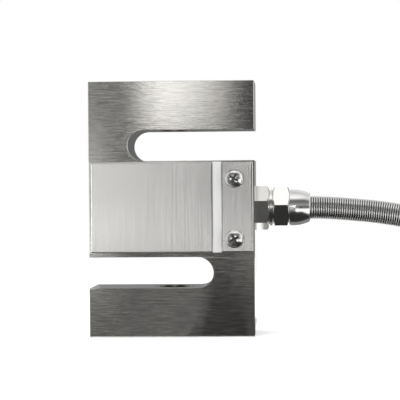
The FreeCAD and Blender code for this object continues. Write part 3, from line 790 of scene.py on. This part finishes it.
class LOADCELL_OT_threads(bpy.types.Operator):
    """Wind the load threads inside both arms"""

    bl_idname = "loadcell.threads"
    bl_label = "Load threads"

    def execute(self, context):
        sizes = context.scene.load_cell_thread
        arm = ARM_H_MM * MM
        for name, low in (("lower_thread", BLOCK_LOW[2]), ("upper_thread", BLOCK_HIGH[2] - arm)):
            self.wind(name, low, arm, sizes)
        return {"FINISHED"}

    def wind(self, name, low, arm, sizes):
        """A helical ridge: a triangle with a flat crest, carried round the axis and up one pitch a turn.

        Its height grows from nothing over the first half turn and dies away over the last.
        """
        margin, root = THREAD_MARGIN_MM * MM, THREAD_ROOT_MM * MM
        turns = (arm - 2 * margin) / sizes.pitch
        count = int(turns * THREAD_STEPS)
        turn = np.linspace(0.0, 2 * np.pi * turns, count)
        ends = np.clip(np.minimum(turn, turn[-1] - turn) / np.pi, 0.02, 1.0)
        outer = sizes.major / 2 + root
        crest = outer - (sizes.height + root) * ends
        half_foot, half_crest = 0.46 * sizes.pitch, 0.06 * sizes.pitch
        middle = low + margin + turn / (2 * np.pi) * sizes.pitch
        foot, top = half_foot * ends, half_crest * ends
        rows = [
            np.stack([radius * np.cos(turn), radius * np.sin(turn), middle + offset], axis=1)
            for radius, offset in ((outer, -foot), (outer, foot), (crest, top), (crest, -top))
        ]
        points = np.stack(rows, axis=1).reshape(-1, 3)
        caps = np.array([[3, 2, 1, 0], [4 * count - 4, 4 * count - 3, 4 * count - 2, 4 * count - 1]])
        faces = np.vstack([grid_faces(count, 4)[:, ::-1], caps])
        mesh_piece(name, points, faces, finish_for("body_steel"), smooth=False)


class LOADCELL_OT_hose(bpy.types.Operator):
    """Wind the armoured hose from the gland to its end ferrule"""

    bl_idname = "loadcell.hose"
    bl_label = "Armoured hose"

    def execute(self, context):
        sizes = context.scene.load_cell_hose
        line = smooth_path("hose_line", hose_control_points(), 24)
        total = distances(line)[-1]
        fine = np.arange(0.0, FINE_HOSE, sizes.pitch / 8)
        coarse = np.arange(fine[-1] + sizes.pitch / 2, total, sizes.pitch / 2)
        steps = np.concatenate([fine, coarse])
        path = along(line, steps)
        wave = 0.5 - 0.5 * np.cos(2 * np.pi * (steps - fine[-1]) / sizes.pitch)
        radii = sizes.diameter / 2 - sizes.depth * (1 - np.clip(wave, 0, 1) ** 0.5)
        obj = pipe("armoured_hose", path, radii, HOSE_COLUMNS, finish_for("hose_steel"))
        groove = np.concatenate([np.repeat(1 - wave, HOSE_COLUMNS), [0.5, 0.5]])
        layer = obj.data.attributes.new("groove", "FLOAT", "POINT")
        layer.data.foreach_set("value", groove.astype(np.float32))
        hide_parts("hose_run", "hose_coil", "hose_tail")
        return {"FINISHED"}


class LOADCELL_OT_end_ferrule(bpy.types.Operator):
    """Crimp the ferrule onto the hose's far end"""

    bl_idname = "loadcell.end_ferrule"
    bl_label = "End ferrule"

    def execute(self, context):
        start, way = hose_end()
        bore = context.scene.load_cell_hose.cable / 2 / MM + 0.05
        outline_mm = [(0.0, bore)] + FERRULE_MOUTH_MM
        for groove in CRIMP_STARTS_MM:
            outline_mm += [(groove + reach, radius) for reach, radius in CRIMP_MM]
        outline_mm += FERRULE_NOSE_MM + [(END_FERRULE_L_MM, bore)]
        base = tuple(context.scene.load_cell_colours.ferrule)
        finish = turned("end ferrule steel", base, 0.20, 0.0000030, 0.5, tuple(way))
        obj = lathe("crimped_ferrule", np.array(outline_mm) * MM, 64, start, way, finish)
        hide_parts("hose_end_ferrule")
        return {"FINISHED"}


class LOADCELL_OT_free_cable(bpy.types.Operator):
    """Lay the free cable and its bared leads on the coil"""

    bl_idname = "loadcell.free_cable"
    bl_label = "Free cable and leads"

    def execute(self, context):
        sizes = context.scene.load_cell_hose
        route = free_cable_points()
        path = smooth_path("free_cable_line", route, 24)
        s = distances(path)
        rim = np.clip((s[-1] - s) / (CABLE_EDGE_MM * MM), 0.0, 1.0)
        radii = sizes.cable / 2 - CABLE_EDGE_MM * MM * (1 - np.sqrt(1 - (1 - rim) ** 2))
        obj = pipe("free_cable", path, radii, 32, finish_for("cable_jacket"))
        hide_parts("cable_tail")
        names = [self.lead(key, route, sizes) for key in LEAD_FAN_ORDER]
        start, way = hose_end()
        return {"FINISHED"}

    def lead(self, key, route, sizes):
        """One lead: round over its insulation, and seven twisted strands, as a lobed section, where it is bare."""
        path = smooth_path(f"{key}_line", lead_points(key, route), 24)
        s = distances(path)
        shield = key == "shield"
        bare = np.ones_like(s) if shield else (s[-1] - s < sizes.bare).astype(float)
        turn = np.linspace(0.0, 2 * np.pi, LEAD_COLUMNS, endpoint=False)
        twisted = turn[None, :] + 2 * np.pi * s[:, None] * STRAND_TWIST / STRANDS
        lobes = 1 - 0.16 * np.abs(np.sin(STRANDS / 2 * twisted))
        over, core = sizes.lead / 2, (SHIELD_CORE_R_MM if shield else LEAD_CORE_R_MM) * MM
        radii = over * (1 - bare)[:, None] + core * bare[:, None] * lobes
        slot = "shield_copper" if shield else f"wire_{key}"
        obj = pipe(f"{key}_lead", path, radii, LEAD_COLUMNS, finish_for(slot))
        layer = obj.data.attributes.new("bare", "FLOAT", "POINT")
        shares = np.concatenate([np.repeat(bare, LEAD_COLUMNS), bare[[0, -1]]])
        layer.data.foreach_set("value", shares.astype(np.float32))
        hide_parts(f"lead_{key}")
        return obj.name


class LOADCELL_OT_stage(bpy.types.Operator):
    """Set the floor, the lamps, the room and the camera"""

    bl_idname = "loadcell.stage"
    bl_label = "Stage"

    def execute(self, context):
        studio = context.scene.load_cell_studio
        self.floor(tuple(studio.floor))
        for name, middle, size, turn, level in CARDS:
            self.card(name, middle, size, turn, level)
        for name, place, aim, side, power, shown in LAMPS:
            lamp = self.lamp(name, place, aim, side, power * studio.key)
            lamp.visible_glossy = shown
        self.room(context.scene.world, studio.room)
        self.camera(context.scene)
        return {"FINISHED"}

    def floor(self, base):
        """A wide flat sheet. Far from the object it is plain white, so that it meets the backdrop unseen."""
        f = Finish("pale floor", Roughness=0.9, Specular_IOR_Level=0.0)
        x, y, z = f.axes(f.place())
        far = ((x * x + y * y) ** 0.5).between(*FLOOR_FADE)
        light = f.node("ShaderNodeLightPath", out="Is Camera Ray")
        gloss = f.node("ShaderNodeLightPath", out="Is Glossy Ray")
        seen = (light + gloss).clamped()
        grain = f.noise(f.place(), 900.0, 2.0)
        f.set(Base_Color=f.blend(grain.between(0.3, 0.7), tone(base, 0.995), base))
        glow = f.node("ShaderNodeEmission", inputs={"Color": (1, 1, 1, 1), "Strength": 1.0})
        extra = f.node("ShaderNodeEmission", inputs={"Color": (1, 1, 1, 1), "Strength": seen * FLOOR_GLOW})
        lit = self.join(f, Value(f.tree, f.shader.outputs[0]), extra)
        mixed = f.node("ShaderNodeMixShader", inputs={0: far * seen, 1: lit, 2: glow})
        f.tree.links.new(mixed.socket, f.tree.nodes["Material Output"].inputs["Surface"])
        self.sheet("floor", (0.0, 0.75, -0.00002), (5.0, 2.6), (0, 0, 0), f.material)

    def join(self, f, a, b):
        """Both shaders added."""
        return f.node("ShaderNodeAddShader", inputs={0: a, 1: b})

    def sheet(self, name, middle, size, turn, material):
        """A flat rectangle with its middle and size given, turned by degrees about X and then Z.

        No sheet is turned about Y.
        """
        w, h = size[0] / 2, size[1] / 2
        corners = np.array([(-w, -h, 0), (w, -h, 0), (w, h, 0), (-w, h, 0)], dtype=float)
        about_x, about_z = (Matrix.Rotation(math.radians(turn[i]), 3, "XYZ"[i]) for i in (0, 2))
        corners = corners @ np.array(about_z @ about_x).T + np.array(middle)
        mesh = bpy.data.meshes.new(name)
        mesh.from_pydata(corners.tolist(), [], [(0, 1, 2, 3)])
        mesh.materials.append(material)
        obj = bpy.data.objects.new(name, mesh)
        bpy.context.scene.collection.objects.link(obj)
        return obj

    def card(self, name, middle, size, turn, level):
        """A card that shows only in the metal, as a studio's flags and reflectors do."""
        f = Finish(
            name + " face",
            Base_Color=(0, 0, 0, 1),
            Specular_IOR_Level=0.0,
            Emission_Color=(1, 1, 1, 1),
            Emission_Strength=level,
        )
        obj = self.sheet(name, middle, size, turn, f.material)
        obj.visible_camera = False
        obj.visible_diffuse = False
        obj.visible_shadow = False
        return obj

    def lamp(self, name, place, aim, side, power):
        """A square lamp that points at its aim."""
        data = bpy.data.lights.new(name, "AREA")
        data.shape = "RECTANGLE"
        data.size = data.size_y = side
        data.energy = power
        obj = bpy.data.objects.new(name, data)
        obj.location = place
        obj.rotation_euler = (Vector(aim) - Vector(place)).to_track_quat("-Z", "Y").to_euler()
        bpy.context.scene.collection.objects.link(obj)
        return obj

    def room(self, world, level):
        """White to the camera. The metal sees a grey room in front of the object and a white backdrop behind it.

        The backdrop is a little darker high up, and greyer low down towards its right.
        """
        world = world or bpy.data.worlds.new("room")
        bpy.context.scene.world = world
        world.use_nodes = True
        t = Tree(world.node_tree)
        x, y, z = t.axes(t.node("ShaderNodeTexCoord", out="Generated"))
        grey = t.node("ShaderNodeValToRGB", {"stops": ROOM_GREYS}, {"Fac": z})
        behind = y.between(-0.40, -0.05)
        rear = y.between(0.2, 0.6) * (1.0 - z.between(0.2, 0.5)) * (0.50 + 0.30 * x.between(-0.8, 0.8))
        backdrop = (1.0 - 0.30 * z.between(0.5, 0.85) * y.between(0.0, 0.3)) * (1.0 - rear)
        tone_of = grey * level * (1.0 - behind) + backdrop * behind
        camera = t.node("ShaderNodeLightPath", out="Is Camera Ray")
        through = t.node("ShaderNodeLightPath", out="Is Transmission Ray")
        seen = (camera + through).clamped()
        background = t.tree.nodes["Background"]
        background.inputs["Color"].default_value = (1, 1, 1, 1)
        plug(t.tree, background.inputs["Strength"], tone_of + (1.0 - tone_of) * seen)

    def camera(self, scene):
        """Level with the cover and a little to its right, with a long lens."""
        place = Vector(CAMERA_PLACE_MM) * MM
        yaw, pitch, roll = (math.radians(a) for a in CAMERA_TURN_DEG)
        forward = Vector((-math.sin(yaw) * math.cos(pitch), math.cos(yaw) * math.cos(pitch), math.sin(pitch)))
        right = Vector((math.cos(yaw), math.sin(yaw), 0.0))
        up = right.cross(forward)
        right, up = right * math.cos(roll) - up * math.sin(roll), right * math.sin(roll) + up * math.cos(roll)
        data = bpy.data.cameras.new("camera")
        data.sensor_width = CAMERA_SENSOR
        data.lens = CAMERA_LENS
        data.clip_start, data.clip_end = 0.01, 20.0
        obj = bpy.data.objects.new("camera", data)
        turn = Matrix((right, up, -forward)).transposed().to_4x4()
        obj.matrix_world = Matrix.Translation(place) @ turn
        scene.collection.objects.link(obj)
        scene.camera = obj
        scene.view_settings.view_transform = "Standard"


class LOADCELL_PT_panel(bpy.types.Panel):
    """The load cell's sizes, colours and pieces"""

    bl_idname = "LOADCELL_PT_panel"
    bl_label = "S Type Load Cell"
    bl_space_type = "VIEW_3D"
    bl_region_type = "UI"
    bl_category = "Load Cell"

    def draw(self, context):
        scene = context.scene
        for attribute, kind in GROUPS.items():
            box = self.layout.box()
            for name in kind.__annotations__:
                box.prop(getattr(scene, attribute), name)
        for operator in OPERATORS:
            self.layout.operator(operator.bl_idname)


# --- registration and making ----------------------------------------------------------------------

GROUPS = {
    "load_cell_colours": LoadCellColours,
    "load_cell_thread": LoadCellThread,
    "load_cell_hose": LoadCellHose,
    "load_cell_studio": LoadCellStudio,
}
OPERATORS = (
    LOADCELL_OT_finishes,
    LOADCELL_OT_threads,
    LOADCELL_OT_end_ferrule,
    LOADCELL_OT_hose,
    LOADCELL_OT_free_cable,
    LOADCELL_OT_stage,
)


def register():
    for group in GROUPS.values():
        bpy.utils.register_class(group)
    for name, group in GROUPS.items():
        setattr(bpy.types.Scene, name, bpy.props.PointerProperty(type=group))
    for operator in OPERATORS:
        bpy.utils.register_class(operator)
    bpy.utils.register_class(LOADCELL_PT_panel)


def unregister():
    bpy.utils.unregister_class(LOADCELL_PT_panel)
    for operator in reversed(OPERATORS):
        bpy.utils.unregister_class(operator)
    for name in GROUPS:
        delattr(bpy.types.Scene, name)
    for group in reversed(GROUPS.values()):
        bpy.utils.unregister_class(group)


def main():
    register()
    bpy.ops.loadcell.finishes()
    bpy.ops.loadcell.threads()
    bpy.ops.loadcell.end_ferrule()
    bpy.ops.loadcell.hose()
    bpy.ops.loadcell.free_cable()
    bpy.ops.loadcell.stage()


if __name__ == "__main__":
    main()
